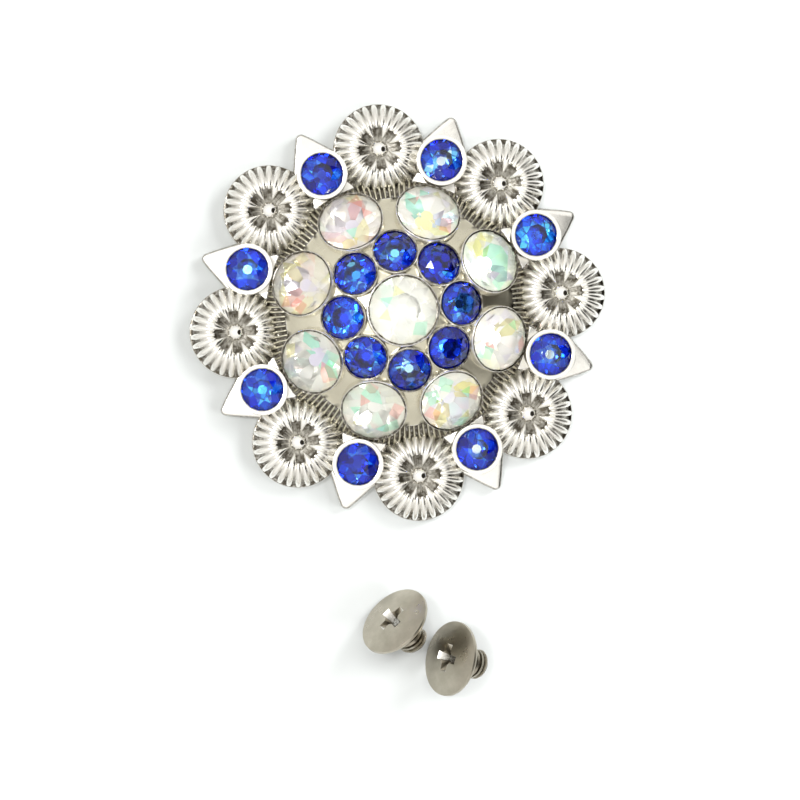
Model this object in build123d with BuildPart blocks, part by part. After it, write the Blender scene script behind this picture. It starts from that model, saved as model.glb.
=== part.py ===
"""Berry concho: a round screw-back ornament for a belt, saddle or bag, cast in white metal,
with cut-glass stones in cups. Millimetres.

The origin is the middle of the back, on the plane that the concho lies on. +Z points out of
the face. A berry lobe lies on +X and on every eighth of a turn after it, and a pointed tab
lies half-way between each two. The two back screws lie taken out, on the -Y side.
"""
from build123d import *
from math import asin, atan, cos, degrees, radians, sin, sqrt, tan
import os

# Layout round the axis
overall_diameter = 40.0        # across two opposite lobes
fold = 8                       # lobes, tabs and stones in each ring
step = 360.0 / fold
tab_angle = step / 2           # first tab, ring crystal and outer stone

# Berry lobes
lobe_radius = 4.35
lobe_pitch = overall_diameter / 2 - lobe_radius
rim_thickness = 1.2            # plain flange round each lobe, and the plate behind it
flange_width = 0.28
crest_height = 2.3
crest_outer_radius = 2.45      # where the ribs start down to the flange
crest_inner_radius = 2.15      # edge of the star dish
dish_depth = 0.5
dish_floor_radius = 0.75
rib_count = 28
groove_inner_depth = 0.11
groove_outer_depth = 0.24
groove_half_angle = 44.0
petal_count = 8
petal_depth = 0.18
petal_inner_width = 0.4
petal_outer_width = 0.8
button_height = 0.18
bead_radius = 0.46

# Pointed tabs
tab_tip_radius = 19.4
tab_half_angle = 37.5
tab_tip_rounding = 0.4
tab_border = 0.42
tab_panel_depth = 0.3
tab_bump_radius = 0.2

# Dome with its milled foot band, and the plate behind everything
dome_top = 5.6
dome_sphere = 19.5
dome_foot_radius = 10.8
band_foot_radius = 12.6
band_ledge = 0.08              # band's top edge outside the dome
tick_count = 128
tick_depth = 0.16
tick_half_angle = 43.0
plate_radius = 14.4

# Cut stones: girdle radius, and the shares and angles that every stone is cut to
blue_radius = 2.0
ring_crystal_radius = 2.97
centre_crystal_radius = 3.17
girdle_thickness = 0.2
table_share = 0.5              # table's corner radius in girdle radii
culet_share = 0.2              # flat at the foot, in girdle radii
crown_main_angle = 34.0
crown_half_angle = 41.0
pavilion_main_angle = 38.0
pavilion_half_angle = 41.0
star_angle = 20.0

# Cups that hold the stones
stone_clearance = 0.05
cup_lip = 0.1                  # cup edge above the girdle
cup_floor = 0.7                # metal left between a stone and the hollow back
wide_cup_wall = 0.38
ring_cup_wall = 0.32
narrow_cup_wall = 0.2
cup_edge_bevel = 0.1

# Rings of stones
outer_pitch = 14.95
outer_girdle_height = 2.45
ring_pitch = 9.67
ring_rise = 0.6                # girdle above the dome, square to it
inner_pitch = 5.6
inner_rise = 0.55
centre_rise = 0.75

# Two tapped posts in the hollow back
post_spacing = 14.0
post_radius = 2.3
tap_radius = 1.3               # tapping hole for an M3 screw
tap_depth = 3.0

# Back screws
shank_radius = 1.45
shank_length = 3.5
shank_bevel = 0.2
head_radius = 3.55
head_rim = 0.4
head_crown = 0.45
recess_span = 2.5
recess_slot = 0.62
recess_depth = 0.95
recess_taper = 12.0
screw_places = [
    # name, x, y, heading of the tip round from +X
    ("screw_1", -4.0, -29.1, -53.5),
    ("screw_2", 0.9, -33.2, -23.0),
]


def pavilion_depth(radius):
    """Depth of a stone below its girdle."""
    return radius * (1 - culet_share) * tan(radians(pavilion_main_angle))


def crown_height(radius):
    """Height of a stone's table above its girdle."""
    return radius * (1 - table_share) * tan(radians(crown_main_angle))


def seat_depth(radius):
    """Depth of a cup's seat below the girdle."""
    return girdle_thickness + stone_clearance + pavilion_depth(radius)


# Levels worked out from the sizes above
sphere_z = dome_top - dome_sphere
dome_foot_height = sphere_z + sqrt(dome_sphere**2 - dome_foot_radius**2)
deepest_seat = max(
    seat_depth(centre_crystal_radius) - centre_rise,
    seat_depth(ring_crystal_radius) - ring_rise,
    seat_depth(blue_radius) - inner_rise,
)
hollow_sphere = dome_sphere - deepest_seat - cup_floor
hollow_radius = sqrt(hollow_sphere**2 - sphere_z**2)
hollow_top = sphere_z + hollow_sphere
rib_foot_radius = lobe_radius - flange_width
dish_floor = crest_height - dish_depth


def cut_stone(radius):
    """Brilliant with a table, 32 crown facets, 24 pavilion facets and a small flat foot."""
    sides = 2 * fold
    facet_step = 360.0 / sides
    side_radius = radius * cos(radians(facet_step / 2))
    crown = crown_height(radius)
    depth = pavilion_depth(radius)
    star_radius = radius * table_share * cos(radians(facet_step))
    cuts = [
        # count, first angle, radius and height of a point on the facet, facet angle, side
        (fold, 0.0, radius, 0.0, crown_main_angle, 1),
        (sides, facet_step / 2, side_radius, 0.0, crown_half_angle, 1),
        (fold, facet_step, star_radius, crown, star_angle, 1),
        (fold, 0.0, radius, -girdle_thickness, pavilion_main_angle, -1),
        (sides, facet_step / 2, side_radius, -girdle_thickness, pavilion_half_angle, -1),
    ]
    with BuildPart() as stone:
        with BuildSketch(Plane.XY.offset(-girdle_thickness - depth)):
            RegularPolygon(radius, sides)
        extrude(amount=depth + girdle_thickness + crown)
        for count, first, reach, height, angle, side in cuts:
            lean = sin(radians(angle))
            rise = side * cos(radians(angle))
            for number in range(count):
                turn = radians(first + number * 360.0 / count)
                facet = Plane(
                    origin=(reach * cos(turn), reach * sin(turn), height),
                    z_dir=(lean * cos(turn), lean * sin(turn), rise),
                )
                split(bisect_by=facet, keep=Keep.BOTTOM)
    return stone.part


def cup_block(radius, wall):
    """Outside of a stone cup: a short post round the stone's axis, its girdle at height 0."""
    outer = radius + stone_clearance + wall
    with BuildPart() as block:
        with BuildSketch(Plane.XZ):
            with BuildLine():
                Polyline(
                    (0, -seat_depth(radius)),
                    (outer, -seat_depth(radius)),
                    (outer, cup_lip - cup_edge_bevel),
                    (outer - cup_edge_bevel, cup_lip),
                    (0, cup_lip),
                    close=True,
                )
            make_face()
        revolve(axis=Axis.Z)
    return block.part


def cup_seat(radius):
    """Room for a stone, with clearance all round, open at the top."""
    inner = radius + stone_clearance
    foot_radius = radius * culet_share + stone_clearance
    open_top = crown_height(radius) + cup_lip
    with BuildPart() as seat:
        with BuildSketch(Plane.XZ):
            with BuildLine():
                Polyline(
                    (0, -seat_depth(radius)),
                    (foot_radius, -seat_depth(radius)),
                    (inner, -girdle_thickness - stone_clearance),
                    (inner, open_top),
                    (0, open_top),
                    close=True,
                )
            make_face()
        revolve(axis=Axis.Z)
    return seat.part


def ring_of(seat, first_angle):
    """One seat repeated round the concho's axis."""
    return [turn * seat for turn in PolarLocations(0, fold, first_angle).local_locations]


def on_dome(pitch, rise):
    """Seat of a stone that stands square on the dome, on the +X side."""
    reach = dome_sphere + rise
    lean = asin(pitch / reach)
    return Location((pitch, 0, sphere_z + reach * cos(lean)), (0, degrees(lean), 0))


# Every ring of stones: name, girdle radius, cup wall and places
outer_seat = Location((outer_pitch, 0, outer_girdle_height))
rings = [
    ("centre_crystal", centre_crystal_radius, ring_cup_wall,
     [Location((0, 0, dome_top + centre_rise))]),
    ("inner_stone", blue_radius, narrow_cup_wall, ring_of(on_dome(inner_pitch, inner_rise), 0)),
    ("ring_crystal", ring_crystal_radius, ring_cup_wall,
     ring_of(on_dome(ring_pitch, ring_rise), tab_angle)),
    ("outer_stone", blue_radius, wide_cup_wall, ring_of(outer_seat, tab_angle)),
]


def v_groove(start, end, half_angle, height):
    """V-shaped cutter whose bottom edge runs from start to end in the XZ plane."""
    run = Vector(*end) - Vector(*start)
    half_width = height * tan(radians(half_angle))
    with BuildPart() as groove:
        with BuildSketch(Plane(start, x_dir=(0, 1, 0), z_dir=run)):
            Polygon((-half_width, height), (half_width, height), (0, 0), align=None)
        extrude(amount=run.length)
    return groove.part


# Milled band: a many-sided frustum with a tick on each corner, rising from inside the plate
band_top_radius = dome_foot_radius + band_ledge
band_run = band_foot_radius - band_top_radius
band_rise = dome_foot_height - rim_thickness
band_flare = atan(band_run / band_rise)
band_base = rim_thickness / 2
tick = v_groove(
    (band_top_radius, 0, dome_foot_height - tick_depth),
    (band_foot_radius, 0, rim_thickness - tick_depth),
    tick_half_angle,
    2 * tick_depth,
)
with BuildPart() as band:
    with BuildSketch(Plane.XY.offset(band_base)):
        RegularPolygon(band_foot_radius + (rim_thickness - band_base) * tan(band_flare), tick_count)
    extrude(amount=dome_foot_height - band_base, taper=degrees(band_flare))
    with PolarLocations(0, tick_count):
        add(tick, mode=Mode.SUBTRACT)

# Dome: a cap of a sphere, solid down to the back plane for now
with BuildPart() as dome:
    with BuildSketch(Plane.XZ):
        with BuildLine():
            Polyline((0, dome_top), (0, 0), (dome_foot_radius, 0), (dome_foot_radius, dome_foot_height))
            RadiusArc((dome_foot_radius, dome_foot_height), (0, dome_top), -dome_sphere)
        make_face()
    revolve(axis=Axis.Z)

# Star dish, upside down: a shallow many-sided hollow with a flat floor
dish_flare = atan((crest_inner_radius - dish_floor_radius) / dish_depth)
with BuildPart() as dish:
    with BuildSketch():
        RegularPolygon(crest_inner_radius, 2 * petal_count, major_radius=False,
                       rotation=180.0 / (2 * petal_count))
    extrude(amount=dish_depth, taper=degrees(dish_flare))

# One star petal, sunk into the dish on the +X side
petal_length = (crest_inner_radius - dish_floor_radius) / sin(dish_flare)
petal_plane = Plane(
    (dish_floor_radius, 0, dish_floor),
    x_dir=(sin(dish_flare), 0, cos(dish_flare)),
    z_dir=(-cos(dish_flare), 0, sin(dish_flare)),
)
with BuildPart() as petal:
    with BuildSketch(petal_plane.offset(-petal_depth)):
        Polygon(
            (0, -petal_inner_width / 2),
            (petal_length, -petal_outer_width / 2),
            (petal_length, petal_outer_width / 2),
            (0, petal_inner_width / 2),
            align=None,
        )
    extrude(amount=dish_depth + petal_depth)

# Berry lobe round its own axis: flange, ribs down from the crest, star dish, button and bead
rib_flare = atan((rib_foot_radius - crest_outer_radius) / (crest_height - rim_thickness))
rib_groove = v_groove(
    (crest_outer_radius, 0, crest_height - groove_inner_depth),
    (rib_foot_radius, 0, rim_thickness - groove_outer_depth),
    groove_half_angle,
    2 * groove_outer_depth,
)
with BuildPart() as lobe:
    with BuildSketch(Plane.XY.offset(rim_thickness)):
        RegularPolygon(rib_foot_radius, rib_count)
    extrude(amount=crest_height - rim_thickness, taper=degrees(rib_flare))
    with BuildSketch():
        Circle(lobe_radius)
    extrude(amount=rim_thickness)
    with PolarLocations(0, rib_count):
        add(rib_groove, mode=Mode.SUBTRACT)
    with Locations((0, 0, crest_height)):
        add(dish.part, rotation=(180, 0, 0), mode=Mode.SUBTRACT)
    with PolarLocations(0, petal_count):
        add(petal.part, mode=Mode.SUBTRACT)
    with BuildSketch(Plane.XY.offset(dish_floor - petal_depth)):
        Circle(dish_floor_radius)
    extrude(amount=petal_depth + button_height)
    with Locations((0, 0, dish_floor + button_height)):
        Sphere(bead_radius)

# Pointed tab on the +X side: a rounded triangle with a raised border and a sunk panel
half_tan = tan(radians(tab_half_angle))
tab_sharp_radius = tab_tip_radius + tab_tip_rounding * (1 / sin(radians(tab_half_angle)) - 1)
panel_tip = tab_sharp_radius - tab_border / sin(radians(tab_half_angle))
with BuildPart() as tab:
    with BuildSketch():
        tab_base = (tab_sharp_radius - band_foot_radius) * half_tan
        Polygon(
            (band_foot_radius, -tab_base),
            (tab_sharp_radius, 0),
            (band_foot_radius, tab_base),
            align=None,
        )
        fillet(vertices().sort_by(Axis.X)[-1], tab_tip_rounding)
    extrude(amount=rim_thickness)
    with BuildSketch(Plane.XY.offset(rim_thickness - tab_panel_depth)):
        panel_base = (panel_tip - outer_pitch) * half_tan
        Polygon(
            (outer_pitch, -panel_base),
            (panel_tip, 0),
            (outer_pitch, panel_base),
            align=None,
        )
    extrude(amount=tab_panel_depth, mode=Mode.SUBTRACT)
    bump_x = outer_pitch + blue_radius + stone_clearance + wide_cup_wall + 2 * tab_bump_radius
    bump_z = rim_thickness - tab_panel_depth
    with Locations(
        (bump_x, -2 * tab_bump_radius, bump_z),
        (bump_x, 2 * tab_bump_radius, bump_z),
        (bump_x + 2.5 * tab_bump_radius, 0, bump_z),
    ):
        Sphere(tab_bump_radius)

# Room inside the back: a cap of a smaller sphere, less the two posts
with BuildPart() as hollow:
    with BuildSketch(Plane.XZ):
        with BuildLine():
            Line((0, 0), (hollow_radius, 0))
            RadiusArc((hollow_radius, 0), (0, hollow_top), -hollow_sphere)
            Line((0, hollow_top), (0, 0))
        make_face()
    revolve(axis=Axis.Z)
    with BuildSketch():
        with GridLocations(post_spacing, 0, 2, 1):
            Circle(post_radius)
    extrude(amount=dome_top, mode=Mode.SUBTRACT)

with BuildPart() as plate:
    with BuildSketch():
        Circle(plate_radius)
    extrude(amount=rim_thickness)

with BuildPart() as tap_holes:
    with BuildSketch():
        with GridLocations(post_spacing, 0, 2, 1):
            Circle(tap_radius)
    extrude(amount=tap_depth)


def copies(piece, places):
    """The same solid at each of several places."""
    return [piece.moved(place) for place in places]


# The casting: everything metal joined in one step, then everything hollow cut in one step
raised = [dome.part, band.part, plate.part]
raised += copies(tab.part, PolarLocations(0, fold, tab_angle).local_locations)
raised += copies(lobe.part, PolarLocations(lobe_pitch, fold).local_locations)
sunk = [hollow.part, tap_holes.part]
for name, radius, wall, places in rings:
    raised += copies(cup_block(radius, wall), places)
    sunk += copies(cup_seat(radius), places)
with BuildPart() as cast_body:
    add(raised)
    add(sunk, mode=Mode.SUBTRACT)

# Back screw on its own axis, head up, with the underside of the head at height 0
with BuildPart() as screw:
    with BuildSketch(Plane.XZ):
        with BuildLine():
            Polyline(
                (0, head_rim + head_crown),
                (0, -shank_length),
                (shank_radius - shank_bevel, -shank_length),
                (shank_radius, -shank_length + shank_bevel),
                (shank_radius, 0),
                (head_radius, 0),
                (head_radius, head_rim),
            )
            crown_sphere = (head_radius**2 + head_crown**2) / (2 * head_crown)
            RadiusArc((head_radius, head_rim), (0, head_rim + head_crown), -crown_sphere)
        make_face()
    revolve(axis=Axis.Z)
    with BuildSketch(Plane.XY.offset(head_rim + head_crown)):
        Rectangle(recess_span, recess_slot)
        Rectangle(recess_slot, recess_span)
    extrude(amount=-recess_depth, taper=recess_taper, mode=Mode.SUBTRACT)

# A screw lies on the edge of its head and the edge of its tip
dip = atan((head_radius - shank_radius) / (shank_length - shank_bevel))

os.makedirs("parts", exist_ok=True)
finished = []

cast_body.part.label = "cast_body"
finished.append(cast_body.part)

for name, radius, wall, places in rings:
    stone = cut_stone(radius)
    for number, place in enumerate(places, start=1):
        with BuildPart() as set_stone:
            with Locations(place):
                add(stone)
        set_stone.part.label = name if len(places) == 1 else f"{name}_{number}"
        finished.append(set_stone.part)

for name, x, y, heading in screw_places:
    lie = Location((x, y, head_radius * cos(dip)), (0, 0, heading + 180))
    lean = Location((0, 0, 0), (0, 90 - degrees(dip), 0))
    with BuildPart() as lying_screw:
        with Locations(lie * lean):
            add(screw.part)
    lying_screw.part.label = name
    finished.append(lying_screw.part)

for piece in finished:
    export_step(piece, f"parts/{piece.label}.step", write_pcurves=False)
    print(piece.label, len(piece.solids()), round(piece.volume, 2))
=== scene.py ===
# %% [markdown]
# # A berry concho with crystals, and its two back screws
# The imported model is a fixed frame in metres. Its origin is the middle of the concho's back,
# +Z comes out of the face and a ribbed lobe points along +X. Every piece below is built where
# the frame says, so nothing has to be fitted afterwards.

# %% Load the frame
import bpy
import bmesh
from collections import namedtuple
from math import asin, atan, atan2, cos, degrees, pi, radians, sin, sqrt, tan
from mathutils import Matrix, Vector


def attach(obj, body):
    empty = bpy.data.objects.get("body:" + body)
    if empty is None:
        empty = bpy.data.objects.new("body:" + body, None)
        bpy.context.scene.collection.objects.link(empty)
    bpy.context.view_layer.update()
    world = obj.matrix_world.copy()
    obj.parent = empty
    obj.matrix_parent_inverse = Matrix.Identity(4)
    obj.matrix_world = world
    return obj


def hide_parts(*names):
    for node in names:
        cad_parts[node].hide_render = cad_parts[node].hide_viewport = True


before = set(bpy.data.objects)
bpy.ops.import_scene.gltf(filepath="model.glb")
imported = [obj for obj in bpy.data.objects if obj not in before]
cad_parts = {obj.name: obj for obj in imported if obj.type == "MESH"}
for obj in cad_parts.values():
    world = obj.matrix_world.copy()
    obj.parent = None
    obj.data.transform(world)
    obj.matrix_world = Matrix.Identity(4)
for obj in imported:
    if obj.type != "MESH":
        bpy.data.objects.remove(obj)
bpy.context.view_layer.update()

# %% [markdown]
# # Helpers
# Sizes are written in millimetres and turned to metres in one place, where a mesh is made.
# `add_node` puts a node in a tree and feeds its inputs, and a node that is given as an input
# stands for its first output. `calc`, `blend` and `remap` do so for sums, colours and ranges,
# which keeps each tree short enough to read from top to bottom.

# %% Makers for nodes
mm = 0.001


def feed(tree, node, inputs):
    """Sets inputs by name or number, each to a value, an output or a node's first output."""
    for name, value in inputs.items():
        if isinstance(value, bpy.types.Node):
            value = value.outputs[0]
        if isinstance(value, bpy.types.NodeSocket):
            tree.links.new(value, node.inputs[name])
        else:
            node.inputs[name].default_value = value


def add_node(tree, kind, inputs=None, **fields):
    """One node, with its fields set and its inputs fed."""
    made = tree.nodes.new(kind)
    for name, value in fields.items():
        setattr(made, name, value)
    feed(tree, made, inputs or {})
    return made


def calc(tree, operation, *values, **fields):
    """The result of a sum on numbers or outputs."""
    return add_node(tree, "ShaderNodeMath", dict(enumerate(values)), operation=operation, **fields)


def remap(tree, value, low, high, start=0.0, end=1.0):
    """A number taken from the range low to high over to the range start to end."""
    return add_node(tree, "ShaderNodeMapRange", {0: value, 1: low, 2: high, 3: start, 4: end})


def blend(tree, share, first, second):
    """A colour between two others, at a share of the way."""
    return add_node(tree, "ShaderNodeMix", {0: share, 6: first, 7: second},
                    data_type="RGBA").outputs[2]


def new_tree(name, inputs, outputs=(("Geometry", "Geometry"),), kind="GeometryNodeTree"):
    """A node group with named sockets, each with a kind and perhaps a value, and its inputs."""
    tree = bpy.data.node_groups.new(name, kind)
    for label, socket, *value in inputs:
        item = tree.interface.new_socket(label, in_out="INPUT", socket_type="NodeSocket" + socket)
        if value:
            item.default_value = value[0]
    for label, socket in outputs:
        tree.interface.new_socket(label, in_out="OUTPUT", socket_type="NodeSocket" + socket)
    return tree, tree.nodes.new("NodeGroupInput").outputs


def close_tree(tree, *results):
    """Links the results to the group's outputs, in their order."""
    feed(tree, tree.nodes.new("NodeGroupOutput"), dict(enumerate(results)))
    return tree


def new_material(name):
    """A material, its node tree and its shader."""
    material = bpy.data.materials.new(name)
    material.use_nodes = True
    return material, material.node_tree, material.node_tree.nodes["Principled BSDF"]


print("node makers ready,", mm, "m to a millimetre")

# %% Makers for meshes
def show(name, data):
    """Puts a mesh, a lamp or a camera in the scene."""
    holder = bpy.data.objects.new(name, data)
    bpy.context.scene.collection.objects.link(holder)
    return holder


def tidy(mesh, crease=40.0):
    """Merges doubles, turns the faces outwards, and smooths them up to a crease in degrees."""
    work = bmesh.new()
    work.from_mesh(mesh)
    bmesh.ops.remove_doubles(work, verts=work.verts, dist=0.0005 * mm)
    bmesh.ops.recalc_face_normals(work, faces=work.faces)
    work.to_mesh(mesh)
    work.free()
    mesh.shade_smooth()
    mesh.set_sharp_from_angle(angle=radians(crease))


def mesh_piece(name, points, faces, crease=40.0):
    """An object from points in millimetres."""
    mesh = bpy.data.meshes.new(name)
    mesh.from_pydata([Vector(p) * mm for p in points], [], faces)
    tidy(mesh, crease)
    return show(name, mesh)


def faces_between(low, high):
    """Faces from one closed row of corners to the next, with no corner twice in a face."""
    faces = []
    for k in range(len(low)):
        after = (k + 1) % len(low)
        face = tuple(dict.fromkeys((low[k], low[after], high[after], high[k])))
        if len(face) > 2:
            faces.append(face)
    return faces


def turned(name, profile, sides=128, ring=False, crease=40.0):
    """A piece turned on the Z axis from (radius, height) points. A ring's profile closes."""
    points, rows, faces = [], [], []
    for radius, height in profile:
        if radius == 0:
            points.append((0, 0, height))
            rows.append([len(points) - 1] * sides)
            continue
        rows.append(list(range(len(points), len(points) + sides)))
        for k in range(sides):
            turn = 2 * pi * k / sides
            points.append((radius * cos(turn), radius * sin(turn), height))
    if ring:
        rows.append(rows[0])
    for low, high in zip(rows, rows[1:]):
        faces += faces_between(low, high)
    return mesh_piece(name, points, faces, crease)


def lofted(name, rows, crease):
    """A closed solid through rows of points, each row an outline with as many points."""
    width = len(rows[0])
    corners = [tuple(range(row * width, (row + 1) * width)) for row in range(len(rows))]
    faces = []
    for low, high in zip(corners, corners[1:]):
        faces += faces_between(low, high)
    faces += [corners[0], corners[-1]]
    return mesh_piece(name, [point for row in rows for point in row], faces, crease)


print("mesh makers ready")

# %% [markdown]
# # Floor, light and camera
# The object lies on white paper under a bright, even light, so the paper burns out to white and
# only a soft shade stays beside the metal. Mirror-bright plating shows nothing but what is
# around it: a sky painted by its height gives white tops and grey flanks, and a dark patch to
# the right gives the black accents that make it read as metal. Two wide lamps stand either side
# of that patch and throw the soft shade to the left. They are hidden from reflections, and a
# small lamp on the left gives the sparkles.
# The camera looks down from straight above, tipped a few degrees to the left, and is rolled by
# the angle that the concho was laid down at.

# %% Sky
scene = bpy.context.scene
scene.view_settings.view_transform = "Standard"


def paint_sky():
    """A grey horizon under a white overhead, with a dark patch half-way up on the right."""
    world = bpy.data.worlds.new("studio")
    scene.world = world
    world.use_nodes = True
    tree = world.node_tree
    tree.nodes.clear()
    place = add_node(tree, "ShaderNodeTexCoord")
    height = add_node(tree, "ShaderNodeSeparateXYZ", {0: place}).outputs["Z"]
    ramp = add_node(tree, "ShaderNodeValToRGB", {0: height})
    stops = ramp.color_ramp.elements
    stops[0].position, stops[0].color = 0.0, (0.42, 0.40, 0.36, 1)
    stops[1].position, stops[1].color = 1.0, (1.20, 1.19, 1.155, 1)
    for position, tone in ((0.14, 0.80), (0.45, 0.97), (0.8, 1.12)):
        stops.new(position).color = (tone, tone * 0.985, tone * 0.95, 1)
    side = add_node(tree, "ShaderNodeVectorMath", {0: place, 1: (0.79, -0.12, 0.60)},
                    operation="DOT_PRODUCT").outputs["Value"]
    sky = blend(tree, remap(tree, side, 0.85, 0.89), ramp, (0.03, 0.027, 0.022, 1))
    back = add_node(tree, "ShaderNodeBackground", {"Color": sky, "Strength": 1.0})
    add_node(tree, "ShaderNodeOutputWorld", {"Surface": back})


paint_sky()
print("sky", scene.world.name)

# %% Paper
def lay_paper():
    """A wide sheet of white paper just under the object."""
    half, under = 900, -0.02
    corners = [(x * half, y * half, under) for x, y in ((-1, -1), (1, -1), (1, 1), (-1, 1))]
    paper = mesh_piece("paper", corners, [(0, 1, 2, 3)])
    material, tree, shader = new_material("white_paper")
    place = add_node(tree, "ShaderNodeTexCoord").outputs["Object"]
    grain = add_node(tree, "ShaderNodeTexNoise", {"Vector": place, "Scale": 300.0})
    tint = blend(tree, grain, (0.57, 0.59, 0.59, 1), (0.60, 0.62, 0.62, 1))
    feed(tree, shader, {"Base Color": tint, "Roughness": 0.8, "Specular IOR Level": 0.2})
    paper.data.materials.append(material)


lay_paper()
print("paper laid")

# %% Lamps
def soft_lamp(name, place, size, power, mirrored):
    """A square lamp that faces the concho, seen in reflections or not."""
    lamp = bpy.data.lights.new(name, "AREA")
    lamp.size = size
    lamp.energy = power
    holder = show(name, lamp)
    holder.location = place
    holder.rotation_euler = (-Vector(place)).to_track_quat("-Z", "Y").to_euler()
    holder.visible_glossy = mirrored


soft_lamp("key", (0.46, 0.22, 0.30), size=0.28, power=3.6, mirrored=False)
soft_lamp("second", (0.46, -0.26, 0.30), size=0.28, power=2.8, mirrored=False)
soft_lamp("sparkle", (-0.22, 0.10, 0.60), size=0.10, power=1.2, mirrored=True)
print("lamps", [lamp.name for lamp in bpy.data.lights])

# %% Camera
def set_camera():
    """Above the concho, tipped to its left, with the axis a little below its middle."""
    tilt, side, roll = radians(4.5), radians(176), radians(-7.05)
    distance, right, down = 0.210, 0.195 * mm, 8.33 * mm
    away = Vector((sin(tilt) * cos(side), sin(tilt) * sin(side), cos(tilt)))
    across = Vector((-sin(roll), cos(roll), 0)).cross(away).normalized()
    up = away.cross(across)
    lens = bpy.data.cameras.new("camera")
    lens.sensor_width = 36.0
    lens.lens = 98.6
    lens.clip_start = 0.01
    scene.camera = show("camera", lens)
    turn = Matrix((across, up, away)).transposed().to_4x4()
    centre = across * right - up * down + away * distance
    scene.camera.matrix_world = Matrix.Translation(centre) @ turn


set_camera()
print("camera at", tuple(round(v, 4) for v in scene.camera.location))

# %% [markdown]
# # Finishes
# Three effects are shared between materials, so each is a group that is built once: the cloudy
# tone of plating with shade painted into its hollows, the fine pits of a casting, and the colour
# that differs from facet to facet in a cut stone, with shade painted at its rim. A group gives
# only colours, masks and heights. The shader that uses them stays in each material, with its
# plain numbers set on its own sockets.

# %% Group: cloudy plating
def plating_group():
    """Plating duller in patches, with shade painted as a dark, broken colour in hollows."""
    tree, given = new_tree("Cloudy plating", [
        ("Vector", "Vector"), ("Bright", "Color"), ("Dull", "Color"),
        ("Patch Scale", "Float", 300.0), ("Roughness Low", "Float", 0.1),
        ("Roughness High", "Float", 0.25), ("Hollow", "Float", 0.0), ("Film", "Color"),
    ], [("Color", "Color"), ("Roughness", "Float")], "ShaderNodeTree")
    cloud = add_node(tree, "ShaderNodeTexNoise", {
        "Vector": given["Vector"], "Scale": given["Patch Scale"], "Detail": 4.0, "Roughness": 0.6})
    spread = remap(tree, cloud, 0.35, 0.65)
    tone = blend(tree, spread, given["Bright"], given["Dull"])
    # Painted shade: a dark colour laid where the shade mask is high, broken up by fine noise.
    fine = add_node(tree, "ShaderNodeTexNoise", {"Vector": given["Vector"], "Scale": 3200.0})
    ragged = remap(tree, fine, 0.3, 0.7, 0.6, 1.3)
    painted_shade = calc(tree, "MULTIPLY", given["Hollow"], ragged, use_clamp=True)
    rough = remap(tree, spread, 0.0, 1.0, given["Roughness Low"], given["Roughness High"])
    return close_tree(tree, blend(tree, painted_shade, tone, given["Film"]), rough)


plating = plating_group()
print("group", plating.name)

# %% Group: cast skin
def skin_group():
    """Height of the fine orange-peel of a die casting, with sparse pin-holes."""
    tree, given = new_tree("Cast skin", [
        ("Vector", "Vector"), ("Peel Scale", "Float", 2000.0),
        ("Pit Scale", "Float", 1500.0), ("Pit Depth", "Float", 0.5),
    ], [("Height", "Float")], "ShaderNodeTree")
    peel = add_node(tree, "ShaderNodeTexNoise", {
        "Vector": given["Vector"], "Scale": given["Peel Scale"], "Detail": 2.0})
    cells = add_node(tree, "ShaderNodeTexVoronoi", {
        "Vector": given["Vector"], "Scale": given["Pit Scale"]})
    pit = remap(tree, cells, 0.05, 0.2, given["Pit Depth"], 0.0)
    return close_tree(tree, calc(tree, "SUBTRACT", peel, pit))


skin = skin_group()
print("group", skin.name)

# %% [markdown]
# ## Metal
# The casting is zinc alloy with bright nickel over it. Where the polishing wheel reaches it is a
# mirror, best of all on the beads. The wheel misses the sunk stars, so they are rougher, and
# they are painted darker as shade. The dome keeps a satin skin and the back stays as it was cast.
# A float attribute on the points is a mask of painted shade: 1 in the bottom of grooves and
# dishes, between parts and on other shaded places, where a dark colour is painted for the shade
# that falls there, and 0 on a piece that carries no such mark.

# %% Metal materials
def metal(name, bright, dull, painted_shade, rough, patch_scale, bump, peel_scale, pit_depth):
    """A metal with cloudy plating and painted shade over a cast skin."""
    material, tree, shader = new_material(name)
    place = add_node(tree, "ShaderNodeTexCoord").outputs["Object"]
    # The mask of painted shade, which each piece carries on its points.
    hollow = add_node(tree, "ShaderNodeAttribute", attribute_name="hollow").outputs["Fac"]
    tone = add_node(tree, "ShaderNodeGroup", {
        "Vector": place, "Hollow": hollow, "Bright": (*bright, 1), "Dull": (*dull, 1),
        "Film": (*painted_shade, 1), "Patch Scale": patch_scale, "Roughness Low": rough[0],
        "Roughness High": rough[1]}, node_tree=plating)
    peel = add_node(tree, "ShaderNodeGroup", {
        "Vector": place, "Peel Scale": peel_scale, "Pit Scale": peel_scale * 0.6,
        "Pit Depth": pit_depth}, node_tree=skin)
    relief = add_node(tree, "ShaderNodeBump", {
        "Height": peel, "Strength": bump, "Distance": 0.02 * mm})
    feed(tree, shader, {"Metallic": 1.0, "Base Color": tone, "Normal": relief,
                        "Roughness": tone.outputs["Roughness"]})
    return material


# The dark colour that is painted for shade in hollows and between parts.
painted_shade = (0.10, 0.088, 0.068)
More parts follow.
